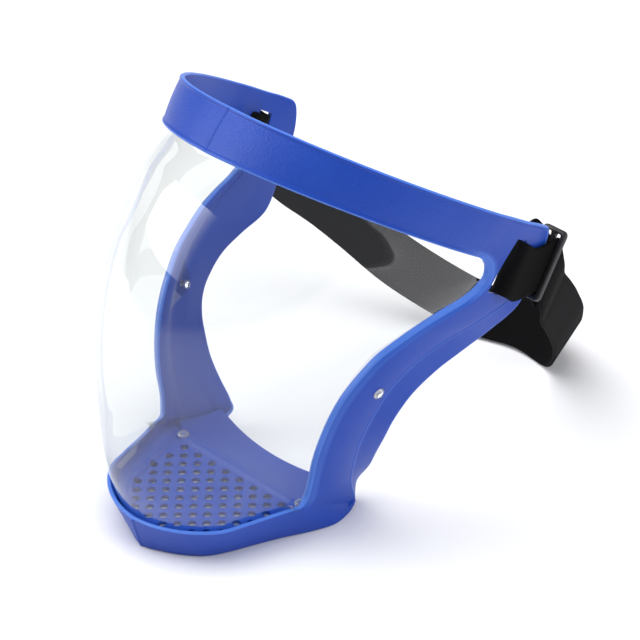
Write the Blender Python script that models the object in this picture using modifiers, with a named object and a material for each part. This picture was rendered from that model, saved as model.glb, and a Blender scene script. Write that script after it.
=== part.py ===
"""Full-face splash shield: soft moulded frame, clear visor, chin tray, rivets and elastic strap.

Lengths are in millimetres until a mesh is made. The shield stands on its chin skirt at z = 0 with its
front towards -Y, and the origin is on the underside of the skirt, at the front parting line.
"""
import math

import bmesh
import bpy
import numpy as np
from mathutils import Matrix, Vector

MM = 0.001
LEAN = math.radians(33)         # the shield leans forward this much when it stands on its chin
EYE_ORIGIN = (122.0, 75.0)      # y and z of the worn frame's origin, above the skirt
GAP = 0.4                       # clearance between neighbouring pieces

WALL = 2.0
BAND_HALF_WIDTH = 92.0
BAND_LENGTH = 125.0
BAND_CENTRE_Y = -5.0
BAND_TOP = 90.0
BAND_BOTTOM = 66.2
BAND_LEAN = 4.0
BAND_FLARE = 3.4                # how far the band stands out from its plan curve between front and side
BAND_RISE = 0.6                 # how much its lower edge lifts there
BAND_POWER = 1.08               # plan curve is a superellipse
BAND_ANGLES = (0, 14, 27, 39, 50, 61, 71, 80)
STEPS = 3                       # mesh rows between two stations
EAR_CORNER = 8                  # station where the window's top edge meets its side edge
CHIN_CORNER = 28                # station where the side edge meets the chin edge

SLOT_LENGTH = 29.8
SLOT_WIDTH = 8.8
SLOT_CENTRE = (5.4, 66.0)       # worn y and z

VISOR = 1.2
VISOR_ROWS = 18
VISOR_COLUMNS = 12
VISOR_TUCK = 4.0
VISOR_STEP_IN = 25.0            # width over which the sheet steps in to pass behind the frame
RIVET_TAB = 17.0
RIVET_STATION = 19.5
RIVET_ACROSS = 0.7
RIVET_HOLE = 1.9
RIVET_SHANK = 1.5
RIVET_HEAD = 3.0
RIVET_FLANGE = 2.4
RIVET_DOME = 1.5
CHIN_PIN = (42.0, 66.0)         # x and y of the pins through the chin tray

TRAY = 2.0
TRAY_TOP = 12.0
TRAY_REAR_Y = 68.0
TRAY_CLEARANCE = 1.6
TRAY_LIP_DROP = 4.0
TRAY_HALF_WIDTH = 46.0
HOLE_RADIUS = 2.2
HOLE_PITCH = (10.0, 10.5)
HOLE_CENTRE_Y = 34.0

STRAP_WIDTH = 28.6
STRAP = 1.6
SWING_Y, SWING_Z = 75.0, 48.0   # worn frame: axis about which the free strap folds
SWING_RADIUS = 20.0

SLIDER_LENGTH = 37.0
SLIDER_WIDTH = 14.5
SLIDER_DEPTH = 3.2
SLIDER_BAR = 2.4
SLIDER_END = 2.0
SLIDER_CENTRE = (85.8, 34.6, 72.2)   # worn frame


def worn(x, y, z):
    """Point given square to the wearer's face, in the standing frame."""
    return Vector((x, y * math.cos(LEAN) + z * math.sin(LEAN) + EYE_ORIGIN[0],
                   -y * math.sin(LEAN) + z * math.cos(LEAN) + EYE_ORIGIN[1]))


def worn_direction(x, y, z):
    return worn(x, y, z) - worn(0, 0, 0)


def band_station(angle):
    """Window edge and outer edge of the forehead band at an angle from its front."""
    across = math.sin(math.radians(angle)) ** BAND_POWER
    along = math.cos(math.radians(angle)) ** BAND_POWER
    between = math.sin(math.radians(2 * angle))
    half_width = BAND_HALF_WIDTH + BAND_FLARE * between
    length = BAND_LENGTH + BAND_FLARE * between
    lower = worn((half_width - BAND_LEAN) * across, BAND_CENTRE_Y - (length + BAND_LEAN) * along,
                 BAND_BOTTOM + BAND_RISE * between)
    upper = worn(half_width * across, BAND_CENTRE_Y - length * along, BAND_TOP)
    return lower, lower.lerp(upper, 0.96), upper


def ear_station(window, edge):
    window, edge = worn(*window), worn(*edge)
    return window, window.lerp(edge, 0.97), edge


def rail_station(window, crease, lip):
    return worn(*window), worn(*crease), worn(*lip)


def chin_station(window, crease, lip):
    return Vector(window), Vector(crease), Vector(lip)


# Half of the frame as stations round the window: window edge, crease, free edge.
STATIONS = [band_station(angle) for angle in BAND_ANGLES] + [
    ear_station((86.8, -14, 65.6), (92.0, -10, 90.0)),
    ear_station((86.8, -8, 63.5), (91.6, 3, 90.0)),
    ear_station((86.7, -4.2, 60), (90.2, 16.5, 90.4)),
    ear_station((86.5, -2.6, 56), (88.8, 24.8, 89)),
    ear_station((86.0, -3.6, 51.5), (87.4, 29.4, 79.5)),
    ear_station((85.4, -6.5, 46.5), (86.6, 31.4, 68)),
    rail_station((84.3, -11.5, 40.5), (85.5, 29, 57.5), (86.3, 31.6, 57)),
    rail_station((82.6, -18.5, 33.8), (84.6, 21, 48), (84.6, 31.0, 46)),
    rail_station((80.2, -26.5, 25), (82.3, 10, 35.5), (79.8, 25, 31.5)),
    rail_station((77, -33.5, 15), (79, -4, 22.5), (78.6, 12, 18)),
    rail_station((73.3, -40.5, 3.5), (75.8, -16, 7.5), (77, 1.5, 6)),
    rail_station((70, -43.6, -8.5), (72.3, -20.7, -6), (74.3, -4.8, -7)),
    rail_station((67, -45, -20.5), (69, -20.8, -18.5), (72, -6.3, -17)),
    rail_station((64.2, -43.8, -33), (66, -18.7, -29.5), (68.8, -4.5, -26.5)),
    rail_station((61.4, -40, -46), (63, -15.5, -40), (64.8, 0, -36)),
    rail_station((58.6, -34.5, -58), (59.6, -9.5, -49.5), (60.3, 5, -45)),
    rail_station((56.2, -28, -68), (55.8, -2, -58.5), (54.5, 12, -54)),
    rail_station((54.8, -24, -76), (52, 7.5, -66.5), (47.5, 18, -61.5)),
    chin_station((53.8, 59, 21.5), (49, 98, 0), (43.5, 102.5, 8.5)),
    chin_station((53, 56, 20), (53, 90, 0), (47, 92, 1.5)),
    chin_station((51.5, 51.5, 20), (55, 78, 0), (50.5, 79, 0)),
    chin_station((49.5, 45, 20), (51, 65, 0), (46.5, 66, 0)),
    chin_station((47, 36, 20), (45, 52, 0), (40.5, 53.5, 0)),
    chin_station((44.3, 26, 20), (39.5, 38, 0), (35.2, 39.7, 0)),
    chin_station((41, 15.5, 20), (34.3, 24, 0), (30.4, 26.2, 0)),
    chin_station((34.5, 7, 20), (29, 14.5, 0), (25.9, 18, 0)),
    chin_station((25, -0.5, 20), (21, 7.5, 0), (19, 11.4, 0)),
    chin_station((13, -6, 20), (11, 1.8, 0), (10, 5.9, 0)),
    chin_station((0, -8, 20), (0, -2, 0), (0, 2.2, 0)),
]

# Side view of the visor's middle line, as a cubic through four control points: (y, z).
MIDLINE = ((46.0, 204.0), (-9.8, 171.8), (-20.0, 83.8), (-8.0, 20.0))

# Free strap, from the wearer's left round the back to the right: lower edge and lean of its width.
STRAP_PATH = (
    (worn(81.2, 62, 41.4), 34), (worn(78.6, 69, 39.2), 36), (worn(74.5, 79, 36.6), 39),
    (Vector((66.5, 221, 48)), 44), (Vector((54, 239, 25.5)), 50), (Vector((37, 253, 2.5)), 52),
    (Vector((12, 256, 1.6)), 50), (Vector((-12, 249, 2.0)), 46), (Vector((-34, 240, 9.5)), 42),
    (Vector((-55, 224, 27)), 39), (worn(-70.5, 88, 24.6), 36), (worn(-77.5, 72, 30), 34),
    (worn(-80.9, 62, 32.8), 34),
)

# Ends of the strap through the ear slots: centre points in the worn frame, tip first.
NEAR_END = ((82.8, 48, 62.6), (82.6, 41, 68.3), (82.4, 34.6, 72.6), (82.1, 27, 76), (82.0, 20, 77.5),
            (81.9, 15, 73), (82.0, 11.2, 68.4), (82.8, 8.8, 66.2), (84.4, 7.6, 66), (86.3, 7.2, 66),
            (88.0, 6.9, 66), (89.6, 7.0, 66), (91.0, 8.0, 66), (91.4, 10.6, 65.6), (90.7, 16, 64.8),
            (90.0, 22, 66), (89.6, 28, 69), (89.1, 34.6, 72.6), (88.8, 40, 69), (88.2, 45, 65),
            (86.2, 52, 60.6), (82.2, 60, 57.2))
FAR_END = ((-79.4, -6.5, 66), (-79.8, -2.5, 66), (-81.2, 1.2, 66), (-83.4, 2.5, 66), (-86.8, 2.8, 66),
           (-90.0, 3.2, 66), (-91.6, 5.6, 66), (-91.8, 10, 65), (-91.4, 18, 61), (-90.2, 32, 55.6),
           (-87.0, 46, 51), (-81.8, 60, 47.6))


def catmull(points, place):
    """Point at a place along a smooth curve through the points; mirrored beyond both ends."""
    last = len(points) - 1
    index = min(int(place), last - 1)
    part = place - index

    def control(number):
        if number < 0:
            return points[1] * Vector((-1, 1, 1))
        if number > last:
            return points[last - 1] * Vector((-1, 1, 1))
        return points[number]

    a, b, c, d = (control(index + shift) for shift in (-1, 0, 1, 2))
    return 0.5 * (2 * b + (c - a) * part + (2 * a - 5 * b + 4 * c - d) * part ** 2
                  + (3 * b - 3 * c + d - a) * part ** 3)


def open_curve(points, place):
    """As catmull, for a curve that doesn't cross the middle plane."""
    first = 2 * points[0] - points[1]
    final = 2 * points[-1] - points[-2]
    return catmull([first, *points, final], place + 1)


def frame_lines(place):
    """Window edge, crease and free edge at a place counted in stations."""
    lines = [catmull([station[line] for station in STATIONS], place) for line in range(3)]
    for point in lines:
        point.z = max(point.z, 0.0)
    return lines


def frame_wall(place, across):
    """Point on the frame's outer wall, and the outward normal there."""
    window, crease, _ = frame_lines(place)
    ahead = frame_lines(min(place + 0.05, len(STATIONS) - 1))
    behind = frame_lines(max(place - 0.05, 0))
    along = ahead[0].lerp(ahead[1], across) - behind[0].lerp(behind[1], across)
    normal = along.cross(crease - window).normalized()
    return window.lerp(crease, across), normal


def make_object(name, mesh_builder, colour, roughness, alpha=1.0):
    """New object of a bmesh in millimetres, with its own plastic or fabric material."""
    mesh_builder.transform(Matrix.Scale(MM, 4))
    mesh = bpy.data.meshes.new(name)
    mesh_builder.to_mesh(mesh)
    mesh_builder.free()
    part = bpy.data.objects.new(name, mesh)
    parts.objects.link(part)
    material = bpy.data.materials.new(name + "_material")
    material.use_nodes = True
    shader = material.node_tree.nodes["Principled BSDF"]
    shader.inputs["Base Color"].default_value = (*colour, 1.0)
    shader.inputs["Roughness"].default_value = roughness
    shader.inputs["Metallic"].default_value = 0.0
    shader.inputs["Alpha"].default_value = alpha
    mesh.materials.append(material)
    mesh.shade_smooth()
    mesh.set_sharp_from_angle(angle=math.radians(40))
    return part


def add_grid(builder, rows):
    """Quads between rows of points."""
    grid = [[builder.verts.new(point) for point in row] for row in rows]
    for upper, lower in zip(grid, grid[1:]):
        for k in range(len(upper) - 1):
            builder.faces.new((upper[k], lower[k], lower[k + 1], upper[k + 1]))
    return grid


def mirror_half(part):
    mirror = part.modifiers.new("mirror", "MIRROR")
    mirror.merge_threshold = 0.0001


def thicken(part, thickness, offset=-1):
    """Give an open surface its thickness, on its inner side."""
    solidify = part.modifiers.new("thickness", "SOLIDIFY")
    solidify.thickness = thickness * MM
    solidify.offset = offset


def cutter_object(name, builder):
    builder.transform(Matrix.Scale(MM, 4))
    mesh = bpy.data.meshes.new(name)
    builder.to_mesh(mesh)
    builder.free()
    tool = bpy.data.objects.new(name, mesh)
    tool.hide_render = True
    tool.display_type = "WIRE"
    cutters.objects.link(tool)
    return tool


def cut(part, tool):
    boolean = part.modifiers.new("cut", "BOOLEAN")
    boolean.operation = "DIFFERENCE"
    boolean.object = tool


def add_rod(builder, centre, direction, radius, length, segments=12):
    """Cylinder along a direction, centred on a point."""
    turn = direction.to_track_quat("Z", "Y").to_matrix().to_4x4()
    bmesh.ops.create_cone(builder, cap_ends=True, segments=segments, radius1=radius, radius2=radius,
                          depth=length, matrix=Matrix.Translation(centre) @ turn)


def add_block(builder, centre, size, tilt=LEAN):
    """Box of a size, tilted back about the lateral axis."""
    place = Matrix.Translation(centre) @ Matrix.Rotation(-tilt, 4, "X") @ Matrix.Diagonal((*size, 1))
    bmesh.ops.create_cube(builder, size=1, matrix=place)


def mirrored(point, side):
    return Vector((point.x * side, point.y, point.z))


def build_frame():
    """Forehead band, ears, rails and chin skirt as one moulding."""
    builder = bmesh.new()
    rows = []
    for step in range((len(STATIONS) - 1) * STEPS + 1):
        window, crease, lip = frame_lines(step / STEPS)
        wall = [window.lerp(crease, k / 4) for k in range(5)]
        rows.append(wall + [crease.lerp(lip, 0.5), lip])
    add_grid(builder, rows)
    part = make_object("frame", builder, (0.03, 0.11, 0.60), 0.45)
    mirror_half(part)
    thicken(part, WALL)
    holes = bmesh.new()
    for side in (-1, 1):
        centre = worn(side * (BAND_HALF_WIDTH - 4), *SLOT_CENTRE)
        add_block(holes, centre, (20, SLOT_WIDTH, SLOT_LENGTH))
        point, normal = frame_wall(RIVET_STATION, RIVET_ACROSS)
        add_rod(holes, mirrored(point, side), mirrored(normal, side), RIVET_HOLE, 12)
    cut(part, cutter_object("frame_holes", holes))


def section_place(stations, point, rail, middle):
    """Place along a stretch of the window edge at the same angle as a point of a visor section."""
    def angle(at):
        return math.atan2(at.x / rail.x, (rail.y - at.y) / (rail.y - middle.y))
    places = np.linspace(stations[0], stations[1], 60)
    angles = [angle(frame_lines(place)[0]) for place in places]
    return float(np.interp(angle(point), angles, places))


def midline(share):
    weights = ((1 - share) ** 3, 3 * share * (1 - share) ** 2, 3 * share ** 2 * (1 - share), share ** 3)
    return Vector((0, *(sum(w * p[k] for w, p in zip(weights, MIDLINE)) for k in (0, 1))))


def visor_section(share, angle):
    """Superellipse from the rail's window edge to the middle line, in a plane that fans forward."""
    rail = frame_lines(EAR_CORNER + (CHIN_CORNER - EAR_CORNER) * share)[0]
    middle = midline(share)
    power = BAND_POWER + (1 - BAND_POWER) * share
    across, along = math.sin(angle) ** power, max(math.cos(angle), 0) ** power
    return Vector((rail.x * across, rail.y + (middle.y - rail.y) * along,
                   rail.z + (middle.z - rail.z) * along))


def visor_surface():
    """Grid of points level with the frame's outer face, and the window-edge place of each border."""
    angles = [math.pi / 2 * k / VISOR_COLUMNS for k in range(VISOR_COLUMNS + 1)]
    shares = [k / VISOR_ROWS for k in range(VISOR_ROWS + 1)]
    ends = []
    for share, stations in ((0, (0, EAR_CORNER)), (1, (len(STATIONS) - 1, CHIN_CORNER))):
        rail, middle = visor_section(share, math.pi / 2), midline(share)
        row = [visor_section(share, angle) for angle in angles]
        places = [section_place(stations, point, rail, middle) for point in row]
        ends.append((places, [frame_lines(at)[0] - point for at, point in zip(places, row)]))
    (top_places, top_shift), (chin_places, chin_shift) = ends
    grid = [[visor_section(share, angle) + (1 - share) ** 2 * top_shift[k] + share ** 2 * chin_shift[k]
             for k, angle in enumerate(angles)] for share in shares]
    return grid, top_places, chin_places


def grid_normal(grid, row, column):
    """Outward normal of the visor grid at a vertex."""
    down = grid[min(row + 1, len(grid) - 1)][column] - grid[max(row - 1, 0)][column]
    if column == 0:
        side = Vector((1, 0, 0))
    else:
        side = grid[row][min(column + 1, len(grid[0]) - 1)] - grid[row][column - 1]
    return down.cross(side).normalized()


def tuck_depth(place):
    """How far the visor reaches in behind the frame's wall; deeper where a rivet holds it."""
    return VISOR_TUCK + RIVET_TAB * math.exp(-((place - RIVET_STATION) / 0.9) ** 2)


def step_in(distance):
    """How far the sheet lies inside the frame's outer face, at a distance from the window's edge."""
    share = min(distance / VISOR_STEP_IN, 1.0)
    return (WALL + 2 * GAP) * (1 - share ** 2 * (3 - 2 * share))


def build_visor():
    """Clear, doubly curved sheet tucked in behind the window's edge."""
    grid, top_places, chin_places = visor_surface()
    edge = grid[0] + [row[-1] for row in grid] + grid[-1]
    builder = bmesh.new()
    verts = []
    for i, row in enumerate(grid):
        verts.append([])
        for k, point in enumerate(row):
            inset = step_in(min((point - other).length for other in edge))
            verts[-1].append(builder.verts.new(point - grid_normal(grid, i, k) * inset))
    for row in verts:
        row[0].co.x = 0
    for upper, lower in zip(verts, verts[1:]):
        for k in range(VISOR_COLUMNS):
            builder.faces.new((upper[k], lower[k], lower[k + 1], upper[k + 1]))
    side_places = [EAR_CORNER + (CHIN_CORNER - EAR_CORNER) * k / VISOR_ROWS for k in range(VISOR_ROWS + 1)]
    border = [(verts[0][k], top_places[k]) for k in range(VISOR_COLUMNS)]
    border += [(verts[k][-1], side_places[k]) for k in range(VISOR_ROWS + 1)]
    border += [(verts[-1][k], chin_places[k]) for k in reversed(range(VISOR_COLUMNS))]
    previous = [vert for vert, _ in border]
    for depth in (0.5, 1.0):
        outer = []
        for vert, place in border:
            window, crease, _ = frame_lines(place)
            reach = (crease - window).normalized() * tuck_depth(place) * depth
            outer.append(builder.verts.new(vert.co + reach))
        outer[0].co.x = outer[-1].co.x = 0
        for k in range(len(border) - 1):
            builder.faces.new((outer[k], previous[k], previous[k + 1], outer[k + 1]))
        previous = outer
    part = make_object("visor", builder, (0.90, 0.92, 0.93), 0.05, alpha=0.25)
    mirror_half(part)
    thicken(part, VISOR)
    holes = bmesh.new()
    for side in (-1, 1):
        point, normal = frame_wall(RIVET_STATION, RIVET_ACROSS)
        add_rod(holes, mirrored(point, side), mirrored(normal, side), RIVET_HOLE, 12)
    cut(part, cutter_object("visor_holes", holes))


def build_rivet(name, seat, normal, grip):
    """Clear push rivet: domed head, shank through the grip length, small flange behind."""
    under = -grip - GAP
    bottom = under - 2 * GAP
    profile = [(0, RIVET_DOME), (0.53 * RIVET_HEAD, 0.8 * RIVET_DOME), (0.87 * RIVET_HEAD, 0.4 * RIVET_DOME),
               (RIVET_HEAD, GAP), (RIVET_SHANK, GAP), (RIVET_SHANK, under), (RIVET_FLANGE, under),
               (RIVET_FLANGE, bottom), (0, bottom)]
    builder = bmesh.new()
    points = [builder.verts.new((radius, 0, height)) for radius, height in profile]
    for lower, upper in zip(points, points[1:]):
        builder.edges.new((lower, upper))
    part = make_object(name, builder, (0.85, 0.87, 0.90), 0.1, alpha=0.4)
    part.location = seat * MM
    part.rotation_euler = normal.to_track_quat("Z", "Y").to_euler()
    screw = part.modifiers.new("turn", "SCREW")
    screw.steps = screw.render_steps = 16
    screw.use_merge_vertices = True
    screw.merge_threshold = 0.00001


def build_rivets():
    point, normal = frame_wall(RIVET_STATION, RIVET_ACROSS)
    for name, side in (("rivet_left", 1), ("rivet_right", -1)):
        build_rivet(name, mirrored(point, side), mirrored(normal, side), WALL + VISOR + 3 * GAP)
    for name, side in (("chin_pin_left", 1), ("chin_pin_right", -1)):
        build_rivet(name, Vector((CHIN_PIN[0] * side, CHIN_PIN[1], TRAY_TOP)), Vector((0, 0, 1)), TRAY)


def skirt_half_width():
    """Inner half width of the chin skirt at tray height, as matching lists of y and x."""
    ys, xs = [], []
    for step in range(60):
        place = len(STATIONS) - 1 - step * 0.18
        window, crease, _ = frame_lines(place)
        share = (window.z - TRAY_TOP) / (window.z - crease.z)
        point, normal = frame_wall(place, share)
        inside = point - Vector((normal.x, normal.y, 0)).normalized() * (WALL + TRAY_CLEARANCE)
        ys.append(inside.y)
        xs.append(max(inside.x, 0))
    return ys, xs


def build_tray():
    """Perforated chin floor, running back into the lip that the chin rests on."""
    ys, xs = skirt_half_width()
    order = np.argsort(ys)
    ys, xs = np.array(ys)[order], np.array(xs)[order]
    front = ys[0] + 1.0
    rows = []
    for k in range(17):
        y = front + (TRAY_REAR_Y - front) * (1 - math.cos(math.pi / 2 * k / 16))
        half = float(np.interp(y, ys, xs))
        rows.append([Vector((half * column / 8, y, TRAY_TOP)) for column in range(8, -9, -1)])
    for k in range(1, 6):
        share = k / 5
        row = []
        for column in range(8, -9, -1):
            across = column / 8
            edge = 90 + 8 * across ** 2
            y = TRAY_REAR_Y + (edge - TRAY_REAR_Y) * share
            half = float(np.interp(y, ys, xs)) - TRAY_LIP_DROP * share
            drop = math.sin(math.pi / 2 * share) - 0.5 * across ** 2 * share
            row.append(Vector((min(half, TRAY_HALF_WIDTH) * across, y, TRAY_TOP - TRAY_LIP_DROP * drop)))
        rows.append(row)
    builder = bmesh.new()
    add_grid(builder, rows)
    part = make_object("chin_tray", builder, (0.05, 0.14, 0.62), 0.4)
    thicken(part, TRAY)
    holes = bmesh.new()
    for row in range(-5, 6):
        shift = HOLE_PITCH[0] / 2 * (row % 2)
        for column in range(-4, 5):
            x, y = column * HOLE_PITCH[0] + shift, HOLE_CENTRE_Y + row * HOLE_PITCH[1] / 2
            half = float(np.interp(y, ys, xs))
            if abs(x) < min(half - 3 * HOLE_RADIUS, TRAY_HALF_WIDTH - HOLE_PITCH[0]) and y > front + 2 * TRAY:
                add_rod(holes, Vector((x, y, TRAY_TOP)), Vector((0, 0, 1)), HOLE_RADIUS, 8, segments=10)
    for side in (-1, 1):
        add_rod(holes, Vector((CHIN_PIN[0] * side, CHIN_PIN[1], TRAY_TOP)), Vector((0, 0, 1)), RIVET_HOLE, 8)
    cut(part, cutter_object("tray_holes", holes))


def ribbon(name, centres, leans, halves):
    """Strap piece: a flat ribbon through centre points, its width leaning back from upright."""
    builder = bmesh.new()
    rows = []
    for centre, lean, half in zip(centres, leans, halves):
        width = Vector((0, math.sin(math.radians(lean)), math.cos(math.radians(lean))))
        rows.append([centre - width * half, centre, centre + width * half])
    add_grid(builder, rows)
    part = make_object(name, builder, (0.012, 0.012, 0.013), 0.9)
    thicken(part, STRAP, offset=0)
    return part


def strap_point(place):
    """Centre and lean of the strap at a place along its control points."""
    lower = open_curve([point for point, _ in STRAP_PATH], place)
    lean = float(np.interp(place, range(len(STRAP_PATH)), [lean for _, lean in STRAP_PATH]))
    width = Vector((0, math.sin(math.radians(lean)), math.cos(math.radians(lean))))
    return lower + width * STRAP_WIDTH / 2, lean


def from_swing_axis(point):
    """How far a point lies behind the swing axis and above it, in the worn frame."""
    offset = point - worn(0, SWING_Y, SWING_Z)
    return offset.dot(worn_direction(0, 1, 0)), offset.dot(worn_direction(0, 0, 1))


def build_free_strap():
    """The strap behind the head. Its ends are rounded about the swing axis."""
    centres, leans, halves = [], [], []
    for place in np.linspace(0, len(STRAP_PATH) - 1, 61):
        centre, lean = strap_point(place)
        back, up = from_swing_axis(centre)
        half = STRAP_WIDTH / 2
        if back < 0:
            half = min(half, math.sqrt(SWING_RADIUS ** 2 - back ** 2) - abs(up))
        centres.append(centre)
        leans.append(lean)
        halves.append(half)
    ribbon("strap", centres, leans, halves)


def end_ribbon(name, points):
    """Strap end through an ear slot; it stops short of the swinging strap's rounded end."""
    count = (len(points) - 1) * 4
    centres = [open_curve([worn(*point) for point in points], (len(points) - 1) * k / count)
               for k in range(count + 1)]
    part = ribbon(name, centres, [math.degrees(LEAN)] * len(centres), [STRAP_WIDTH / 2] * len(centres))
    clearance = bmesh.new()
    axis = worn(points[-1][0], SWING_Y, SWING_Z)
    add_rod(clearance, axis, Vector((1, 0, 0)), SWING_RADIUS + GAP, 60, segments=48)
    cut(part, cutter_object(name + "_clearance", clearance))


def build_slider():
    """Three-bar slider round both layers of the strap, just behind the ear."""
    place = Matrix.Translation(worn(*SLIDER_CENTRE)) @ Matrix.Rotation(-LEAN, 4, "X")
    builder = bmesh.new()
    bmesh.ops.create_cube(builder, size=1, matrix=place @ Matrix.Diagonal(
        (SLIDER_WIDTH, SLIDER_DEPTH, SLIDER_LENGTH, 1)))
    part = make_object("slider", builder, (0.02, 0.02, 0.022), 0.4)
    bevel = part.modifiers.new("round", "BEVEL")
    bevel.width = 0.9 * MM
    bevel.segments = 2
    slots = bmesh.new()
    slot = (SLIDER_WIDTH - 3 * SLIDER_BAR) / 2
    for side in (-1, 1):
        offset = Matrix.Translation((side * (slot + SLIDER_BAR) / 2, 0, 0))
        bmesh.ops.create_cube(slots, size=1, matrix=place @ offset @ Matrix.Diagonal(
            (slot, SLIDER_DEPTH * 3, SLIDER_LENGTH - 2 * SLIDER_END, 1)))
    cut(part, cutter_object("slider_slots", slots))


def build_stop():
    """Folded and sewn end of the strap, too thick to pull back out through the ear slot."""
    builder = bmesh.new()
    add_block(builder, worn(-79.0, -10.6, 66), (4.2, 7, STRAP_WIDTH))
    part = make_object("strap_stop", builder, (0.012, 0.012, 0.013), 0.9)
    bevel = part.modifiers.new("round", "BEVEL")
    bevel.width = 1.2 * MM
    bevel.segments = 2


for old in list(bpy.data.objects):
    bpy.data.objects.remove(old, do_unlink=True)
parts = bpy.data.collections.new("splash_shield")
cutters = bpy.data.collections.new("cutters")
for group in (parts, cutters):
    bpy.context.scene.collection.children.link(group)

build_frame()
build_visor()
build_rivets()
build_tray()
build_free_strap()
end_ribbon("strap_loop", NEAR_END)
end_ribbon("strap_end", FAR_END)
build_slider()
build_stop()
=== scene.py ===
"""Full-face splash shield: soft moulded frame, clear visor, perforated chin floor and elastic head strap.

Lengths are in millimetres until a mesh is made. The shield stands on its chin skirt, front towards -Y.
"""
import math
from types import SimpleNamespace

import bmesh
import bpy
import numpy as np
from bpy.props import FloatProperty, FloatVectorProperty, PointerProperty
from mathutils import Matrix, Vector


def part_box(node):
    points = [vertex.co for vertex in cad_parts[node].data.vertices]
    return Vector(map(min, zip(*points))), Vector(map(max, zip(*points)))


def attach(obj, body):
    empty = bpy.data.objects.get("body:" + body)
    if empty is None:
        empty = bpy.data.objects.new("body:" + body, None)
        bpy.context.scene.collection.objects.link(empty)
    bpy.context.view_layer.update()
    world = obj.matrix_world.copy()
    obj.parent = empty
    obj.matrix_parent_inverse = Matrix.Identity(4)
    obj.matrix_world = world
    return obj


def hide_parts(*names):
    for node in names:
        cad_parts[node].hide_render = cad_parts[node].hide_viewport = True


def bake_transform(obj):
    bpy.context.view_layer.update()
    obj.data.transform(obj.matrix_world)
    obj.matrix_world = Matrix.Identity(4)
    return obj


bl_info = {
    "name": "Splash Shield",
    "version": (1, 0, 0),
    "blender": (4, 5, 0),
    "location": "3D View > Sidebar > Shield",
    "description": "Builds the finished pieces of a full-face splash shield on its CAD frame",
    "category": "Add Mesh",
}

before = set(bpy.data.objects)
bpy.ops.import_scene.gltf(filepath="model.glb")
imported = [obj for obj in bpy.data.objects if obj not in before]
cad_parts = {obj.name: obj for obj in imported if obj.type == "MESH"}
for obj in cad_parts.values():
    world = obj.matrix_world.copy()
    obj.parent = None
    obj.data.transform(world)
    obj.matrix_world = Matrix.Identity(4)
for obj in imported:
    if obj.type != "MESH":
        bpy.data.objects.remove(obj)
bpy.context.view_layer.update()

MM = 0.001
LEAN = math.radians(33)         # the shield leans forward this much when it stands on its chin
EYE_ORIGIN = (122.0, 75.0)      # y and z of the worn frame's origin, above the skirt

# Half of the frame as stations round the window: window edge, crease, free edge.
BAND_HALF_WIDTH = 92.0
BAND_LENGTH = 125.0
BAND_CENTRE_Y = -5.0
BAND_TOP = 90.0
BAND_BOTTOM = 66.2
BAND_LEAN = 4.0
BAND_FLARE = 3.4                # how far the band stands out from its plan curve between front and side
BAND_RISE = 0.6                 # how much its lower edge lifts there
BAND_POWER = 1.08               # plan curve is a superellipse
BAND_ANGLES = (0, 14, 27, 39, 50, 61, 71, 80)
EAR_CORNER = 8                  # station where the window's top edge meets its side edge
CHIN_CORNER = 28                # station where the side edge meets the chin edge
SLOT_CENTRE = (5.4, 66.0)       # worn y and z
SLOT_SIZE = (20.0, 8.8, 29.8)
RIVET_STATION = 19.5
RIVET_ACROSS = 0.7
RIVET_HOLE = 1.9
TRAY_TOP = 12.0
TRAY_REAR_Y = 68.0
HOLE_PITCH = (10.0, 10.5)


def worn(x, y, z):
    """Point given square to the wearer's face, in the standing frame."""
    return Vector((x, y * math.cos(LEAN) + z * math.sin(LEAN) + EYE_ORIGIN[0],
                   -y * math.sin(LEAN) + z * math.cos(LEAN) + EYE_ORIGIN[1]))


def band_station(angle):
    """Window edge and outer edge of the forehead band at an angle from its front."""
    across = math.sin(math.radians(angle)) ** BAND_POWER
    along = math.cos(math.radians(angle)) ** BAND_POWER
    between = math.sin(math.radians(2 * angle))
    half_width = BAND_HALF_WIDTH + BAND_FLARE * between
    length = BAND_LENGTH + BAND_FLARE * between
    lower = worn((half_width - BAND_LEAN) * across, BAND_CENTRE_Y - (length + BAND_LEAN) * along,
                 BAND_BOTTOM + BAND_RISE * between)
    upper = worn(half_width * across, BAND_CENTRE_Y - length * along, BAND_TOP)
    return lower, lower.lerp(upper, 0.96), upper


def ear_station(window, edge):
    window, edge = worn(*window), worn(*edge)
    return window, window.lerp(edge, 0.97), edge


def rail_station(window, crease, lip):
    return worn(*window), worn(*crease), worn(*lip)


def chin_station(window, crease, lip):
    return Vector(window), Vector(crease), Vector(lip)


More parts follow.
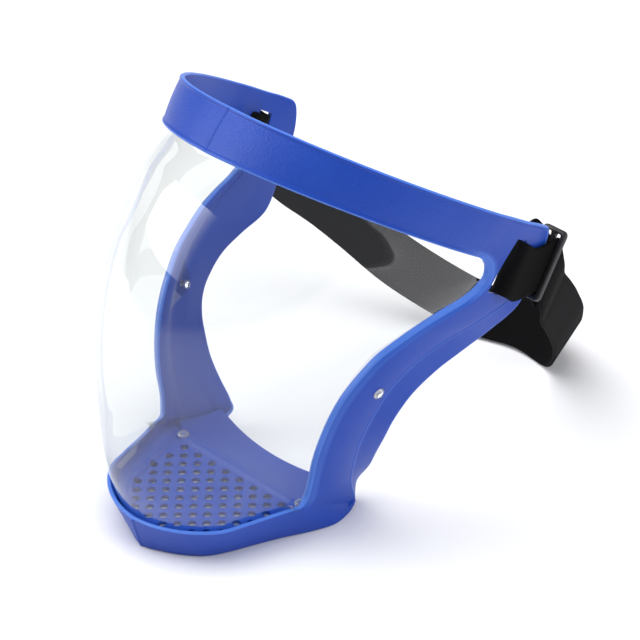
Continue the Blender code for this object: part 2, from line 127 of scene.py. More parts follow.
STATIONS = [band_station(angle) for angle in BAND_ANGLES] + [
    ear_station((86.8, -14, 65.6), (92.0, -10, 90.0)),
    ear_station((86.8, -8, 63.5), (91.6, 3, 90.0)),
    ear_station((86.7, -4.2, 60), (90.2, 16.5, 90.4)),
    ear_station((86.5, -2.6, 56), (88.8, 24.8, 89)),
    ear_station((86.0, -3.6, 51.5), (87.4, 29.4, 79.5)),
    ear_station((85.4, -6.5, 46.5), (86.6, 31.4, 68)),
    rail_station((84.3, -11.5, 40.5), (85.5, 29, 57.5), (86.3, 31.6, 57)),
    rail_station((82.6, -18.5, 33.8), (84.6, 21, 48), (84.6, 31.0, 46)),
    rail_station((80.2, -26.5, 25), (82.3, 10, 35.5), (79.8, 25, 31.5)),
    rail_station((77, -33.5, 15), (79, -4, 22.5), (78.6, 12, 18)),
    rail_station((73.3, -40.5, 3.5), (75.8, -16, 7.5), (77, 1.5, 6)),
    rail_station((70, -43.6, -8.5), (72.3, -20.7, -6), (74.3, -4.8, -7)),
    rail_station((67, -45, -20.5), (69, -20.8, -18.5), (72, -6.3, -17)),
    rail_station((64.2, -43.8, -33), (66, -18.7, -29.5), (68.8, -4.5, -26.5)),
    rail_station((61.4, -40, -46), (63, -15.5, -40), (64.8, 0, -36)),
    rail_station((58.6, -34.5, -58), (59.6, -9.5, -49.5), (60.3, 5, -45)),
    rail_station((56.2, -28, -68), (55.8, -2, -58.5), (54.5, 12, -54)),
    rail_station((54.8, -24, -76), (52, 7.5, -66.5), (47.5, 18, -61.5)),
    chin_station((53.8, 59, 21.5), (49, 98, 0), (43.5, 102.5, 8.5)),
    chin_station((53, 56, 20), (53, 90, 0), (47, 92, 1.5)),
    chin_station((51.5, 51.5, 20), (55, 78, 0), (50.5, 79, 0)),
    chin_station((49.5, 45, 20), (51, 65, 0), (46.5, 66, 0)),
    chin_station((47, 36, 20), (45, 52, 0), (40.5, 53.5, 0)),
    chin_station((44.3, 26, 20), (39.5, 38, 0), (35.2, 39.7, 0)),
    chin_station((41, 15.5, 20), (34.3, 24, 0), (30.4, 26.2, 0)),
    chin_station((34.5, 7, 20), (29, 14.5, 0), (25.9, 18, 0)),
    chin_station((25, -0.5, 20), (21, 7.5, 0), (19, 11.4, 0)),
    chin_station((13, -6, 20), (11, 1.8, 0), (10, 5.9, 0)),
    chin_station((0, -8, 20), (0, -2, 0), (0, 2.2, 0)),
]
LAST = len(STATIONS) - 1

# Side view of the visor's middle line, as a cubic through four control points: (y, z).
MIDLINE = ((46.0, 204.0), (-9.8, 171.8), (-20.0, 83.8), (-8.0, 20.0))

# Free strap, from the wearer's left round the back to the right: lower edge and lean of its width.
STRAP_PATH = (
    (worn(81.2, 62, 41.4), 34), (worn(78.6, 69, 39.2), 36), (worn(74.5, 79, 36.6), 39),
    (Vector((66.5, 221, 48)), 44), (Vector((54, 239, 25.5)), 50), (Vector((37, 253, 2.5)), 52),
    (Vector((12, 256, 1.6)), 50), (Vector((-12, 249, 2.0)), 46), (Vector((-34, 240, 9.5)), 42),
    (Vector((-55, 224, 27)), 39), (worn(-70.5, 88, 24.6), 36), (worn(-77.5, 72, 30), 34),
    (worn(-80.9, 62, 32.8), 34),
)

# Ends of the strap through the ear slots: centre points in the worn frame, tip first.
NEAR_END = ((82.8, 48, 62.6), (82.6, 41, 68.3), (82.4, 34.6, 72.6), (82.1, 27, 76), (82.0, 20, 77.5),
            (81.9, 15, 73), (82.0, 11.2, 68.4), (82.8, 8.8, 66.2), (84.4, 7.6, 66), (86.3, 7.2, 66),
            (88.0, 6.9, 66), (89.6, 7.0, 66), (91.0, 8.0, 66), (91.4, 10.6, 65.6), (90.7, 16, 64.8),
            (90.0, 22, 66), (89.6, 28, 69), (89.1, 34.6, 72.6), (88.8, 40, 69), (88.2, 45, 65),
            (86.2, 52, 60.6))
FAR_END = ((-79.4, -6.5, 66), (-79.8, -2.5, 66), (-81.2, 1.2, 66), (-83.4, 2.5, 66), (-86.8, 2.8, 66),
           (-90.0, 3.2, 66), (-91.6, 5.6, 66), (-91.8, 10, 65), (-91.4, 18, 61), (-90.2, 32, 55.6),
           (-87.0, 46, 51))


def linear(code, alpha=1.0):
    """Linear colour of an sRGB hex value."""
    parts = [int(code[k:k + 2], 16) / 255 for k in (0, 2, 4)]
    return (*(c / 12.92 if c <= 0.04045 else ((c + 0.055) / 1.055) ** 2.4 for c in parts), alpha)


def length(name, description, default):
    """Length property given in millimetres."""
    return FloatProperty(name=name, description=description, default=default * MM, min=0.0, precision=5,
                         subtype="DISTANCE", unit="LENGTH")


def colour(name, description, code):
    """Colour property given as an sRGB hex value."""
    return FloatVectorProperty(name=name, description=description, default=linear(code)[:3], min=0.0, max=1.0,
                               subtype="COLOR")


class ShieldSizes(bpy.types.PropertyGroup):
    """Sizes of the finished pieces"""
    wall: length("Wall", "Thickness of the frame moulding", 2.0)
    edge_wall: length("Edge wall", "Thickness of the rails where they hold the visor", 5.0)
    bead: length("Bead", "Height of the bead along the band's edges", 0.45)
    visor: length("Visor", "Thickness of the clear sheet", 1.2)
    grain: length("Grain", "Spacing of the leather grain", 0.9)
    hole_radius: length("Hole radius", "Radius of the chin floor's vents", 2.2)
    strap_width: length("Strap width", "Width of the elastic", 28.6)
    strap: length("Strap", "Thickness of the elastic", 1.6)
    thread: length("Thread", "Spacing of the elastic's ribs", 1.3)


class ShieldColours(bpy.types.PropertyGroup):
    """Colours of the finishes"""
    pvc: colour("Frame", "Body colour of the soft frame", "103EA4")
    # Paler blue: a trace of it is the frame's random mottle; along the rims, the crease flash and the window's
    # bevel it is painted highlight.
    pvc_mottle_and_edge_highlight: colour("Frame edge", "Paler colour of thin edges", "5B8AE6")
    clear: colour("Visor", "Tint of the clear sheet", "FAFBFA")
    rivet: colour("Rivet", "Tint of the clear rivets", "F2F4F8")
    elastic: colour("Strap", "Colour of the elastic's ribs", "111112")
    elastic_gap: colour("Strap gaps", "Colour between the ribs", "080809")
    acetal: colour("Slider", "Colour of the slider", "1F1F20")
    floor: colour("Floor", "Colour of the floor", "F4F4F6")


def settings():
    """Sizes and colours as plain values: millimetres, and colours with full alpha."""
    scene = bpy.context.scene
    sizes = {key: getattr(scene.shield_sizes, key) / MM for key in ShieldSizes.__annotations__}
    colours = {key: (*getattr(scene.shield_colours, key), 1.0) for key in ShieldColours.__annotations__}
    return SimpleNamespace(**sizes), SimpleNamespace(**colours)


def add_node(tree, kind, inputs=None, **settings):
    """Add a shader node with its settings; an input is a value or the socket that feeds it."""
    node = tree.nodes.new(kind)
    for key, value in settings.items():
        setattr(node, key, value)
    for key, value in (inputs or {}).items():
        if isinstance(value, bpy.types.NodeSocket):
            tree.links.new(value, node.inputs[key])
        else:
            node.inputs[key].default_value = value
    return node


def new_material(name):
    material = bpy.data.materials.new(name)
    material.use_nodes = True
    tree = material.node_tree
    tree.nodes.clear()
    return material, tree


def finish_material(tree, surface):
    add_node(tree, "ShaderNodeOutputMaterial", {"Surface": surface})


MIX_FACTOR, MIX_A, MIX_B, MIX_RESULT = 0, 6, 7, 2      # colour sockets of a Mix node


def soft_pvc():
    """Soft PVC, injection moulded: satin, with painted highlight in a paler blue along its thin edges, leather
    grain on the band.
    """
    sizes, colours = settings()
    material, tree = new_material("soft_pvc_moulded")
    place = add_node(tree, "ShaderNodeTexCoord").outputs["Object"]
    # The rim attribute is painted highlight: it mixes in the paler blue along the rims, the rails' crease flash
    # and the window's bevel.
    rim = add_node(tree, "ShaderNodeAttribute", attribute_name="rim").outputs["Fac"]
    grain = add_node(tree, "ShaderNodeAttribute", attribute_name="grain").outputs["Fac"]
    cloud = add_node(tree, "ShaderNodeTexNoise",
                     {"Vector": place, "Scale": 1 / (45 * MM), "Detail": 2.0, "Roughness": 0.5})
    shade = add_node(tree, "ShaderNodeMapRange", {"Value": cloud.outputs["Fac"], "From Min": 0.3,
                                                  "From Max": 0.7, "To Min": 0.0, "To Max": 0.05})
    body = add_node(tree, "ShaderNodeMix", {MIX_FACTOR: shade.outputs["Result"], MIX_A: colours.pvc,
                                            MIX_B: colours.pvc_mottle_and_edge_highlight}, data_type="RGBA")
    edged = add_node(tree, "ShaderNodeMix", {MIX_FACTOR: rim, MIX_A: body.outputs[MIX_RESULT],
                                             MIX_B: colours.pvc_mottle_and_edge_highlight}, data_type="RGBA")
    pebbles = add_node(tree, "ShaderNodeTexVoronoi",
                       {"Vector": place, "Scale": 1 / (sizes.grain * MM), "Randomness": 1.0})
    wrinkles = add_node(tree, "ShaderNodeTexNoise",
                        {"Vector": place, "Scale": 1 / (sizes.grain * 0.8 * MM), "Detail": 3.0})
    height = add_node(tree, "ShaderNodeMath", {0: pebbles.outputs["Distance"], 1: wrinkles.outputs["Fac"]},
                      operation="SUBTRACT")
    depth = add_node(tree, "ShaderNodeMath", {0: height.outputs[0], 1: grain}, operation="MULTIPLY")
    bump = add_node(tree, "ShaderNodeBump", {"Height": depth.outputs[0], "Strength": 0.65,
                                             "Distance": 0.3 * MM})
    peel = add_node(tree, "ShaderNodeTexNoise", {"Vector": place, "Scale": 1 / (5 * MM), "Detail": 1.0})
    waves = add_node(tree, "ShaderNodeBump", {"Height": peel.outputs["Fac"], "Strength": 0.12,
                                              "Distance": 0.4 * MM, "Normal": bump.outputs["Normal"]})
    rough = add_node(tree, "ShaderNodeMapRange", {"Value": cloud.outputs["Fac"], "To Min": 0.36,
                                                  "To Max": 0.46})
    shader = add_node(tree, "ShaderNodeBsdfPrincipled",
                      {"Base Color": edged.outputs[MIX_RESULT], "Roughness": rough.outputs["Result"],
                       "Specular IOR Level": 0.35, "Subsurface Weight": 0.12, "Subsurface Scale": 3 * MM,
                       "Normal": waves.outputs["Normal"]})
    shader.inputs["Subsurface Radius"].default_value = (0.3, 0.6, 1.0)
    finish_material(tree, shader.outputs[0])
    return material


def clear_sheet(name, tint, strength, roughness):
    """Clear sheet: what is behind shows unbent, and the gloss of both faces is drawn on the one it meets."""
    material, tree = new_material(name)
    place = add_node(tree, "ShaderNodeTexCoord").outputs["Object"]
    haze = add_node(tree, "ShaderNodeTexNoise", {"Vector": place, "Scale": 1 / (60 * MM), "Detail": 2.0})
    tone = add_node(tree, "ShaderNodeMapRange", {"Value": haze.outputs["Fac"], "To Min": roughness * 0.7,
                                                 "To Max": roughness * 1.3})
    side = add_node(tree, "ShaderNodeNewGeometry").outputs["Backfacing"]
    gloss = add_node(tree, "ShaderNodeFresnel", {"IOR": strength})
    front = add_node(tree, "ShaderNodeMath", {0: 1.0, 1: side}, operation="SUBTRACT")
    share = add_node(tree, "ShaderNodeMath", {0: gloss.outputs[0], 1: front.outputs[0]}, operation="MULTIPLY")
    through = add_node(tree, "ShaderNodeBsdfTransparent", {"Color": tint})
    mirror = add_node(tree, "ShaderNodeBsdfGlossy", {"Color": (1, 1, 1, 1), "Roughness": tone.outputs[0]})
    both = add_node(tree, "ShaderNodeMixShader", {0: share.outputs[0], 1: through.outputs[0],
                                                  2: mirror.outputs[0]})
    finish_material(tree, both.outputs[0])
    return material


def clear_acrylic():
    """Acrylic, moulded in facets: bends what is behind it and glints along its edges."""
    _, colours = settings()
    material, tree = new_material("acrylic_moulded")
    place = add_node(tree, "ShaderNodeTexCoord").outputs["Object"]
    flow = add_node(tree, "ShaderNodeTexNoise", {"Vector": place, "Scale": 1 / (1.5 * MM), "Detail": 1.0})
    bump = add_node(tree, "ShaderNodeBump", {"Height": flow.outputs["Fac"], "Strength": 0.3,
                                             "Distance": 0.2 * MM})
    shader = add_node(tree, "ShaderNodeBsdfPrincipled",
                      {"Base Color": colours.rivet, "Roughness": 0.08, "IOR": 1.49,
                       "Transmission Weight": 0.85, "Normal": bump.outputs["Normal"]})
    finish_material(tree, shader.outputs[0])
    return material


def woven_elastic():
    """Polyester elastic, woven: matt black with fine lengthwise ribs crossed by the weft."""
    sizes, colours = settings()
    material, tree = new_material("woven_elastic")
    along = add_node(tree, "ShaderNodeAttribute", attribute_name="along").outputs["Fac"]
    across = add_node(tree, "ShaderNodeAttribute", attribute_name="across").outputs["Fac"]
    spot = add_node(tree, "ShaderNodeCombineXYZ", {"X": along, "Y": across})
    # Real ribs are 0.6 mm apart; they are drawn twice as coarse so that they show.
    waves = [add_node(tree, "ShaderNodeMath", {0: value, 1: 2 * math.pi / pitch}, operation="MULTIPLY")
             for value, pitch in ((across, sizes.thread), (along, sizes.thread * 0.8))]
    ribs, weft = [add_node(tree, "ShaderNodeMath", {0: wave.outputs[0]}, operation="SINE") for wave in waves]
    weave = add_node(tree, "ShaderNodeMath", {0: ribs.outputs[0], 1: weft.outputs[0]}, operation="MULTIPLY")
    fuzz = add_node(tree, "ShaderNodeTexNoise", {"Vector": spot.outputs[0], "Scale": 1.6, "Detail": 3.0})
    height = add_node(tree, "ShaderNodeMath", {0: weave.outputs[0], 1: 0.35, 2: fuzz.outputs["Fac"]},
                      operation="MULTIPLY_ADD")
    tone = add_node(tree, "ShaderNodeMapRange", {"Value": height.outputs[0], "From Min": 0.1, "From Max": 0.9})
    mixed = add_node(tree, "ShaderNodeMix", {MIX_FACTOR: tone.outputs[0], MIX_A: colours.elastic_gap,
                                             MIX_B: colours.elastic}, data_type="RGBA")
    bump = add_node(tree, "ShaderNodeBump", {"Height": height.outputs[0], "Strength": 0.3,
                                             "Distance": 0.2 * MM})
    shader = add_node(tree, "ShaderNodeBsdfPrincipled",
                      {"Base Color": mixed.outputs[MIX_RESULT], "Roughness": 0.9, "Specular IOR Level": 0.12,
                       "Normal": bump.outputs["Normal"]})
    finish_material(tree, shader.outputs[0])
    return material


def black_acetal():
    """Acetal, moulded: satin black with soft grey highlights and a faint tooling texture."""
    _, colours = settings()
    material, tree = new_material("acetal_moulded")
    place = add_node(tree, "ShaderNodeTexCoord").outputs["Object"]
    fine = add_node(tree, "ShaderNodeTexNoise", {"Vector": place, "Scale": 1 / (0.8 * MM), "Detail": 2.0})
    rough = add_node(tree, "ShaderNodeMapRange", {"Value": fine.outputs["Fac"], "To Min": 0.3, "To Max": 0.45})
    bump = add_node(tree, "ShaderNodeBump", {"Height": fine.outputs["Fac"], "Strength": 0.15,
                                             "Distance": 0.1 * MM})
    shader = add_node(tree, "ShaderNodeBsdfPrincipled",
                      {"Base Color": colours.acetal, "Roughness": rough.outputs["Result"],
                       "IOR": 1.48, "Normal": bump.outputs["Normal"]})
    finish_material(tree, shader.outputs[0])
    return material


def catmull(points, place):
    """Point at a place along a smooth curve through the points; mirrored beyond both ends."""
    last = len(points) - 1
    index = min(int(place), last - 1)
    part = place - index

    def control(number):
        if number < 0:
            return points[1] * Vector((-1, 1, 1))
        if number > last:
            return points[last - 1] * Vector((-1, 1, 1))
        return points[number]

    a, b, c, d = (control(index + shift) for shift in (-1, 0, 1, 2))
    return 0.5 * (2 * b + (c - a) * part + (2 * a - 5 * b + 4 * c - d) * part ** 2
                  + (3 * b - 3 * c + d - a) * part ** 3)


def open_curve(points, place):
    """As catmull, for a curve that doesn't cross the middle plane."""
    first = 2 * points[0] - points[1]
    final = 2 * points[-1] - points[-2]
    return catmull([first, *points, final], place + 1)


def frame_lines(place):
    """Window edge, crease and free edge at a place counted in stations."""
    lines = [catmull([station[line] for station in STATIONS], place) for line in range(3)]
    for point in lines:
        point.z = max(point.z, 0.0)
    return lines


def frame_wall(place, across):
    """Point on the frame's outer wall, and the outward normal there."""
    window, crease, _ = frame_lines(place)
    ahead = frame_lines(min(place + 0.05, LAST))
    behind = frame_lines(max(place - 0.05, 0))
    along = ahead[0].lerp(ahead[1], across) - behind[0].lerp(behind[1], across)
    normal = along.cross(crease - window).normalized()
    return window.lerp(crease, across), normal


def unit(vectors):
    return vectors / np.maximum(np.linalg.norm(vectors, axis=-1, keepdims=True), 1e-9)


def ring_normals(grid):
    """Outward normals of a grid whose rows run round a closed ring."""
    along = np.roll(grid, -1, 0) - np.roll(grid, 1, 0)
    return unit(np.cross(along, np.gradient(grid, axis=1)))


def smooth_step(value, low, high):
    share = np.clip((value - low) / (high - low), 0, 1)
    return share * share * (3 - 2 * share)


def grid_object(name, grid, material, wrap_rows=False, wrap_columns=False, **values):
    """Object of a grid of points in millimetres; values are point attributes of the same shape."""
    rows, columns = grid.shape[:2]
    number = np.arange(rows * columns).reshape(rows, columns)
    if wrap_rows:
        number = np.vstack([number, number[:1]])
    if wrap_columns:
        number = np.hstack([number, number[:, :1]])
    quads = np.stack([number[:-1, :-1], number[1:, :-1], number[1:, 1:], number[:-1, 1:]], -1).reshape(-1, 4)
    mesh = bpy.data.meshes.new(name)
    mesh.from_pydata((grid.reshape(-1, 3) * MM).tolist(), [], quads.tolist())
    for key, value in values.items():
        attribute = mesh.attributes.new(key, "FLOAT", "POINT")
        attribute.data.foreach_set("value", np.ascontiguousarray(value, np.float32).ravel())
    mesh.materials.append(material)
    mesh.shade_smooth()
    piece = bpy.data.objects.new(name, mesh)
    bpy.context.scene.collection.objects.link(piece)
    return piece


def close_ends(piece):
    """Fill the open ends of a tube of cloth and keep their rims sharp."""
    builder = bmesh.new()
    builder.from_mesh(piece.data)
    bmesh.ops.holes_fill(builder, edges=[edge for edge in builder.edges if edge.is_boundary], sides=0)
    bmesh.ops.recalc_face_normals(builder, faces=builder.faces)
    builder.to_mesh(piece.data)
    builder.free()
    piece.data.set_sharp_from_angle(angle=math.radians(60))


def slab_object(name, top, bottom, material):
    """Object of two matching grids of points, joined round their borders."""
    rows, columns = top.shape[:2]
    number = np.arange(rows * columns).reshape(rows, columns)
    upper = np.stack([number[:-1, :-1], number[:-1, 1:], number[1:, 1:], number[1:, :-1]], -1).reshape(-1, 4)
    lower = upper[:, ::-1] + rows * columns
    border = np.concatenate([number[0, :-1], number[:-1, -1], number[-1, :0:-1], number[:0:-1, 0]])
    following = np.roll(border, -1)
    sides = np.stack([following, border, border + rows * columns, following + rows * columns], -1)
    mesh = bpy.data.meshes.new(name)
    points = np.concatenate([top.reshape(-1, 3), bottom.reshape(-1, 3)]) * MM
    mesh.from_pydata(points.tolist(), [], np.concatenate([upper, lower, sides]).tolist())
    mesh.materials.append(material)
    mesh.shade_smooth()
    piece = bpy.data.objects.new(name, mesh)
    bpy.context.scene.collection.objects.link(piece)
    return piece


def add_rod(builder, centre, direction, radius, length, segments=24):
    """Cylinder along a direction, centred on a point."""
    turn = direction.to_track_quat("Z", "Y").to_matrix().to_4x4()
    bmesh.ops.create_cone(builder, cap_ends=True, segments=segments, radius1=radius, radius2=radius,
                          depth=length, matrix=Matrix.Translation(centre) @ turn)


def cut_away(piece, builder):
    """Cut a bmesh of tools out of a piece and keep the result as its mesh."""
    builder.transform(Matrix.Scale(MM, 4))
    mesh = bpy.data.meshes.new("tool")
    builder.to_mesh(mesh)
    builder.free()
    tool = bpy.data.objects.new("tool", mesh)
    bpy.context.scene.collection.objects.link(tool)
    boolean = piece.modifiers.new("cut", "BOOLEAN")
    boolean.operation = "DIFFERENCE"
    boolean.object = tool
    keep_modified(piece)
    bpy.data.objects.remove(tool)


def keep_modified(piece):
    """Make a piece's modified shape its own mesh."""
    bpy.context.view_layer.update()
    shaped = bpy.data.meshes.new_from_object(piece.evaluated_get(bpy.context.evaluated_depsgraph_get()))
    piece.modifiers.clear()
    piece.data = shaped


def mirrored(point, side):
    return Vector((point.x * side, point.y, point.z))


def settle(piece, body, slot, *nodes):
    """Ride on a body and stand for CAD nodes; the slot argument is not used."""
    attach(piece, body)
    if nodes:
        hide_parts(*nodes)


FACE_EDGE = (1.0, 1.3, 1.6, 1.9, 2.2, 2.6, 3.1, 3.8)    # mesh lines near a free edge, mm from it
FACE_MIDDLE = 14                                         # and evenly between
CORNER = 0.8                                             # rounding of the crease, mm
FLAP_COLUMNS = 8
SEAM_ROWS = (0.004, 0.009, 0.016, 0.026, 0.04)           # close rows beside the parting line, in stations
ROWS_PER_STATION = 12


def frame_places():
    """Places of the frame's mesh rows, close together beside the parting line."""
    even = np.linspace(0, LAST, LAST * ROWS_PER_STATION + 1)
    return np.unique(np.concatenate([even, SEAM_ROWS, LAST - 2.4 * np.array(SEAM_ROWS)]))


def outer_face():
    """Half of the frame's outer face, as rows of points from window edge to free edge, with the places."""
    places = frame_places()
    rows = []
    for place in places:
        window, crease, lip = frame_lines(place)
        width, flap = (crease - window).length, (lip - crease).length
        corner = min(CORNER, flap * 0.4)
        inner = [d / width for d in FACE_EDGE]
        outer = [1 - (d - 1.0 + corner) / width for d in reversed(FACE_EDGE)]
        middle = np.linspace(inner[-1], outer[0], FACE_MIDDLE)[1:-1]
        row = [window.lerp(crease, share) for share in (*inner, *middle, *outer)]
        start, end = row[-1], crease.lerp(lip, corner / flap)
        for share in (0.25, 0.5, 0.75, 1.0):
            row.append(start.lerp(crease, share).lerp(crease.lerp(end, share), share))
        edge = max(1 - 1.0 / flap, 0.5)
        row += [crease.lerp(lip, share) for share in np.linspace(corner / flap, edge, FLAP_COLUMNS)[1:]]
        rows.append(row)
    return np.array(rows, float), places


def whole_ring(half):
    """Rows of the +X half followed by the mirrored rows of the other half."""
    return np.concatenate([half, half[-2:0:-1] * np.array((-1, 1, 1))])


def build_frame():
    """Forehead band, ears, rails and chin skirt as one moulding with rounded edges."""
    sizes, _ = settings()
    half, places = outer_face()
    grid = whole_ring(half)
    places = np.concatenate([places, places[-2:0:-1]])[:, None]
    normals = ring_normals(grid)
    steps = np.linalg.norm(np.diff(grid, axis=1), axis=2)
    run = np.concatenate([np.zeros((len(grid), 1)), np.cumsum(steps, axis=1)], axis=1)
    crease_column = 2 * len(FACE_EDGE) + FACE_MIDDLE - 2
    from_window = run + FACE_EDGE[0]
    to_crease = run[:, crease_column + 1:crease_column + 2] - run
    on_band = 1 - smooth_step(places, 9.0, 12.0)
    on_rail = smooth_step(places, 9.0, 12.0) * (1 - smooth_step(places, 25.5, 27.5))
    to_free = run[:, -1:] + 1.0 - run
    bead = (1 - smooth_step(from_window, 1.5, 2.3)) + (1 - smooth_step(to_free, 1.5, 2.3))
    on_ear = smooth_step(places, 6.0, 8.5) * (1 - smooth_step(places, 25.5, 27.5))
    shoulder = -1.8 * (1 - np.clip(from_window / 5.0, 0, 1)) ** 2 * on_ear
    share = np.clip(run / run[:, crease_column:crease_column + 1], 0, 1)
    crown = 4 * share * (1 - share)
    flash = np.exp(-(to_crease / 0.35) ** 2)
    across = np.abs(grid[..., 0])
    on_chin = smooth_step(places, LAST - 3, LAST - 2)
    seam = (0.3 + 0.3 * on_chin) * np.exp(-(across / (0.4 + 0.5 * on_chin)) ** 2)
    lift = (sizes.bead * bead * on_band * (1 - on_ear * (from_window < 3)) + shoulder + 0.9 * crown * on_rail
            + 0.5 * crown * on_band + 0.3 * flash * on_rail + seam)
    outer = grid + normals * lift[..., None]
    soft = normals.copy()
    for _ in range(24):
        soft[:, 1:-1] = unit(soft[:, 1:-1] * 2 + soft[:, 2:] + soft[:, :-2])
        soft = unit(2 * soft + np.roll(soft, 1, 0) + np.roll(soft, -1, 0))
    extra = (sizes.edge_wall - sizes.wall) * on_ear * (1 - smooth_step(from_window, 5.0, 14.0))
    inner = grid - soft * (sizes.wall + extra)[..., None]

    def rim(column, neighbour):
        middle = (outer[:, column] + inner[:, column]) / 2
        radius = (outer[:, column] - inner[:, column]) / 2
        away = outer[:, column] - outer[:, neighbour]
        away -= radius * (np.sum(away * radius, 1) / np.sum(radius * radius, 1))[:, None]
        away = unit(away) * FACE_EDGE[0]
        return [middle + radius * math.cos(turn) + away * math.sin(turn)
                for turn in np.linspace(0, math.pi, 9)[1:-1]]

    near_rim, far_rim = rim(0, 1), rim(-1, -2)
    section = np.stack([*outer.transpose(1, 0, 2), *far_rim, *inner[:, ::-1].transpose(1, 0, 2),
                        *reversed(near_rim)], axis=1)
    section[..., 2] = np.maximum(section[..., 2], 0)
    count = outer.shape[1]
    # Painted highlight, stored as the rim attribute: paler blue on the rounded rims, the rails' crease flash
    # and the window's bevel at the ear and near corner.
    painted_edge_highlight = np.zeros(section.shape[:2])
    painted_edge_highlight[:, count:count + len(far_rim)] = 0.7
    painted_edge_highlight[:, -len(near_rim):] = 0.7
    near_corner = smooth_step(places, 6.5, 8.0) * (1 - smooth_step(places, 12.5, 14.0))
    # Painted highlight strip along the window's rolled bevel at the ear and the near corner.
    painted_bevel_highlight = (1 - smooth_step(from_window, 3.0, 4.6)) * (0.25 * on_ear + 0.3 * near_corner)
    painted_edge_highlight[:, :count] = np.clip(0.6 * flash * on_rail + painted_bevel_highlight, 0, 1)
    grain = np.zeros(section.shape[:2])
    grain[:, :count] = ((1 - smooth_step(places, 7.0, 9.3)) * smooth_step(from_window, 2.0, 3.2)
                        * smooth_step(to_free, 2.0, 3.2))
    piece = grid_object("frame_moulding", section, soft_pvc(), wrap_rows=True, wrap_columns=True,
                        rim=painted_edge_highlight, grain=grain)
    tools = bmesh.new()
    for side in (-1, 1):
        centre = worn(side * (BAND_HALF_WIDTH - 4), *SLOT_CENTRE)
        place = (Matrix.Translation(centre) @ Matrix.Rotation(-LEAN, 4, "X")
                 @ Matrix.Diagonal((*SLOT_SIZE, 1)))
        bmesh.ops.create_cube(tools, size=1, matrix=place)
        point, normal = frame_wall(RIVET_STATION, RIVET_ACROSS)
        add_rod(tools, mirrored(point, side), mirrored(normal, side), RIVET_HOLE, 12)
    cut_away(piece, tools)
    piece.data.set_sharp_from_angle(angle=math.radians(50))
    return piece


def section_place(stations, point, rail, middle):
    """Place along a stretch of the window edge at the same angle as a point of a visor section."""
    def angle(at):
        return math.atan2(at.x / rail.x, (rail.y - at.y) / (rail.y - middle.y))
    places = np.linspace(stations[0], stations[1], 90)
    angles = [angle(frame_lines(place)[0]) for place in places]
    return float(np.interp(angle(point), angles, places))


def midline(share):
    weights = ((1 - share) ** 3, 3 * share * (1 - share) ** 2, 3 * share ** 2 * (1 - share), share ** 3)
    return Vector((0, *(sum(w * p[k] for w, p in zip(weights, MIDLINE)) for k in (0, 1))))


def visor_section(share, angle):
    """Superellipse from the rail's window edge to the middle line, in a plane that fans forward."""
    rail = frame_lines(EAR_CORNER + (CHIN_CORNER - EAR_CORNER) * share)[0]
    middle = midline(share)
    power = BAND_POWER + (1 - BAND_POWER) * share
    across, along = math.sin(angle) ** power, max(math.cos(angle), 0) ** power
    return Vector((rail.x * across, rail.y + (middle.y - rail.y) * along,
                   rail.z + (middle.z - rail.z) * along))


VISOR_ROWS, VISOR_COLUMNS = 54, 40
VISOR_TUCK, RIVET_TAB = 4.0, 17.0
TUCK_STEPS = 6
VISOR_STEP_IN = 25.0            # width over which the sheet steps in to pass behind the frame


def tuck_depth(place):
    """How far the visor reaches in behind the frame's wall; deeper where a rivet holds it."""
    return VISOR_TUCK + RIVET_TAB * math.exp(-((place - RIVET_STATION) / 0.9) ** 2)


def step_in(distance, depth):
    """How far the sheet lies inside the frame's outer face, at a distance from the window's edge."""
    return depth * (1 - smooth_step(distance, 0, VISOR_STEP_IN))


